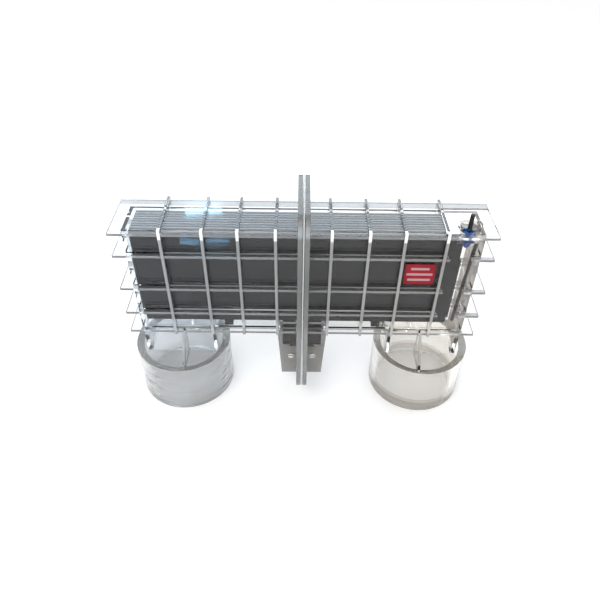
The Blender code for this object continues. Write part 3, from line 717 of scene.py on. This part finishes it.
def turned(name, profile, sides=64):
    """A closed surface of revolution on the sensor's axis: each (radius, height) of the profile,
    which runs up the outside from the axis and back to it, is swept through a full turn."""
    radii, heights = np.array(profile).T
    angles = np.linspace(0.0, 2.0 * np.pi, sides, endpoint=False)
    x = SENSOR_X + radii[1:-1, None] * np.cos(angles)
    y = SENSOR_Y + radii[1:-1, None] * np.sin(angles)
    z = np.repeat(heights[1:-1, None], sides, axis=1)
    rings = np.stack([x, y, z], axis=-1).reshape(-1, 3)
    poles = [(SENSOR_X, SENSOR_Y, heights[0]), (SENSOR_X, SENSOR_Y, heights[-1])]
    index = np.arange(len(rings)).reshape(-1, sides)
    after = np.roll(index, -1, axis=1)
    quads = np.stack([index[:-1], after[:-1], after[1:], index[1:]], axis=-1).reshape(-1, 4)
    low = np.stack([np.full(sides, len(rings)), after[0], index[0]], axis=-1)
    high = np.stack([np.full(sides, len(rings) + 1), index[-1], after[-1]], axis=-1)
    mesh = bpy.data.meshes.new(name)
    mesh.from_pydata(np.vstack([rings, poles]).tolist(), [], quads.tolist() + low.tolist() + high.tolist())
    mesh.shade_smooth()
    mesh.set_sharp_from_angle(angle=math.radians(40))
    piece = bpy.data.objects.new(name, mesh)
    scene.collection.objects.link(piece)
    return piece


def arc(centre_radius, centre_height, size, start, stop, steps=6):
    """Points of a rounded corner of a profile, from one angle to another in degrees."""
    angles = np.radians(np.linspace(start, stop, steps))
    return list(zip(centre_radius + size * np.cos(angles), centre_height + size * np.sin(angles)))


up_taper = np.linspace(0.04, 0.95, 60)
taper_radii = BUNG_RADII[0] + up_taper * (BUNG_RADII[1] - BUNG_RADII[0])
ring_grooves = GROOVE_DEPTH * np.sin(np.pi * SEALING_RINGS * up_taper) ** 2
taper = list(zip(taper_radii - ring_grooves, BUNG_LOW + up_taper * (BUNG_HIGH - BUNG_LOW)))
bung_profile = (
    [(0.0, BUNG_LOW), (0.0015, BUNG_LOW)]
    + taper
    + arc(BUNG_RADII[1] - 0.0005, BUNG_HIGH - BUNG_ROUNDING, BUNG_ROUNDING, 0, 180)
    + arc(0.0033, HOLLOW_FLOOR, BUNG_ROUNDING, 0, -90)
    + arc(0.0025, HOLLOW_FLOOR, BUNG_ROUNDING, -90, -180)
    + arc(0.0018, BUNG_HIGH - 0.0014, 0.0003, 0, 90)
    + [(0.0, BUNG_HIGH - 0.0011)]
)
bung = turned("bung", bung_profile)
# Painted highlight: the bung's upward faces turn pale cyan through the dust channel, standing in for the
# light from above catching its top.
blue_rubber = surfaced(
    "blue_rubber",
    grained_polymer,
    {
        "Body": (0.012, 0.085, 0.42),
        "Blotch": (0.018, 0.13, 0.52),
        "Dust_and_painted_highlight": (0.10, 0.55, 0.90),
        "Dust_and_painted_highlight_share": 0.9,
        "Dullness": 0.35,
        "Grain": 1800.0,
    },
    {"Specular IOR Level": 0.5},
    0.3,
    0.0001,
)
finish_piece(bung, [blue_rubber], "sensor", "blue", "sensor_bung")

STEM_RADIUS = 0.0015
STEM_GROOVE = 0.0002
STEM_LOW, STEM_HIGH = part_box("sensor_stem")[0][2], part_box("sensor_stem")[1][2]
stem_profile = (
    [(0.0, STEM_LOW), (STEM_RADIUS - 0.0003, STEM_LOW), (STEM_RADIUS, STEM_LOW + 0.0003)]
    + [(STEM_RADIUS, STEM_HIGH - 0.0060), (STEM_RADIUS - STEM_GROOVE, STEM_HIGH - 0.0058)]
    + [(STEM_RADIUS - STEM_GROOVE, STEM_HIGH - 0.0048), (STEM_RADIUS, STEM_HIGH - 0.0046)]
    + arc(STEM_RADIUS - 0.0006, STEM_HIGH - 0.0006, 0.0006, 0, 90)
    + [(0.0, STEM_HIGH)]
)
black_sleeve = surfaced(
    "black_sleeve",
    grained_polymer,
    {"Body": (0.010, 0.010, 0.011), "Blotch": (0.016, 0.016, 0.016), "Dust_and_painted_highlight_share": 0.2, "Dullness": 0.42},
    {"Specular IOR Level": 0.4},
    0.3,
    0.0001,
)
finish_piece(turned("stem", stem_profile), [black_sleeve], "sensor", "black", "sensor_stem")


# ---------------------------------------------------------------- level rod
# A thin black rod inside the right end, clipped in behind the front panel and leaning inward
# towards the foot.

rod = merged_copy("rod", "level_rod", 0.0005, None, turned_upright, 3)
finish_piece(rod, [black_sleeve], "cell", "black", "level_rod")


# ---------------------------------------------------------------- warning label
# A dark red foil label with rounded corners, stuck to the front of the right half. Its print is
# left out, and three plain pale bars stand where its lines would be.

LABEL_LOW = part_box("warning_label")[0]
LABEL_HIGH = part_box("warning_label")[1]
LABEL_WIDTH = LABEL_HIGH[0] - LABEL_LOW[0]
LABEL_HEIGHT = LABEL_HIGH[2] - LABEL_LOW[2]
BAR_HALF_HEIGHT_SHARE = 0.055


def upright_corners(middles):
    """True for the label's four corner edges, which run through its thickness."""
    at_side = np.minimum(middles[:, 0] - LABEL_LOW[0], LABEL_HIGH[0] - middles[:, 0]) < 0.0001
    at_end = np.minimum(middles[:, 2] - LABEL_LOW[2], LABEL_HIGH[2] - middles[:, 2]) < 0.0001
    return at_side & at_end


def printed_bars(material, bars, ink):
    """Pale bars on a printed label: each (height share, width share) is a level strip, drawn over
    the colour that the surface group gives."""
    tree = material.node_tree
    shader = tree.nodes["Principled BSDF"]
    base = shader.inputs["Base Color"].links[0].from_socket
    place = tree.nodes.new("ShaderNodeSeparateXYZ")
    tree.links.new(tree.nodes.new("ShaderNodeTexCoord").outputs["Object"], place.inputs["Vector"])
    middle = (LABEL_LOW[0] + LABEL_HIGH[0]) / 2
    inked = None
    for height_share, width_share in bars:
        level = LABEL_LOW[2] + LABEL_HEIGHT * height_share
        across = math_node(tree, "COMPARE", place.outputs["X"], middle, LABEL_WIDTH * width_share / 2)
        along = math_node(tree, "COMPARE", place.outputs["Z"], level, LABEL_HEIGHT * BAR_HALF_HEIGHT_SHARE)
        bar = math_node(tree, "MULTIPLY", across, along)
        inked = bar if inked is None else math_node(tree, "ADD", inked, bar)
    tree.links.new(mix_node(tree, inked, base, ink), shader.inputs["Base Color"])


red_foil = surfaced(
    "red_foil",
    grained_polymer,
    {
        "Body": (0.25, 0.008, 0.018),
        "Blotch": (0.31, 0.013, 0.025),
        "Dust_and_painted_highlight_share": 0.0,
        "Dullness": 0.40,
        "Grain": 900.0,
    },
    {"Specular IOR Level": 0.2},
    0.2,
    0.0001,
)
printed_bars(red_foil, ((0.77, 0.60), (0.50, 0.85), (0.23, 0.75)), (0.46, 0.28, 0.29))
label = merged_copy("label", "warning_label", 0.0012, upright_corners, None, 4)
finish_piece(label, [red_foil], "cell", "red_label", "warning_label")
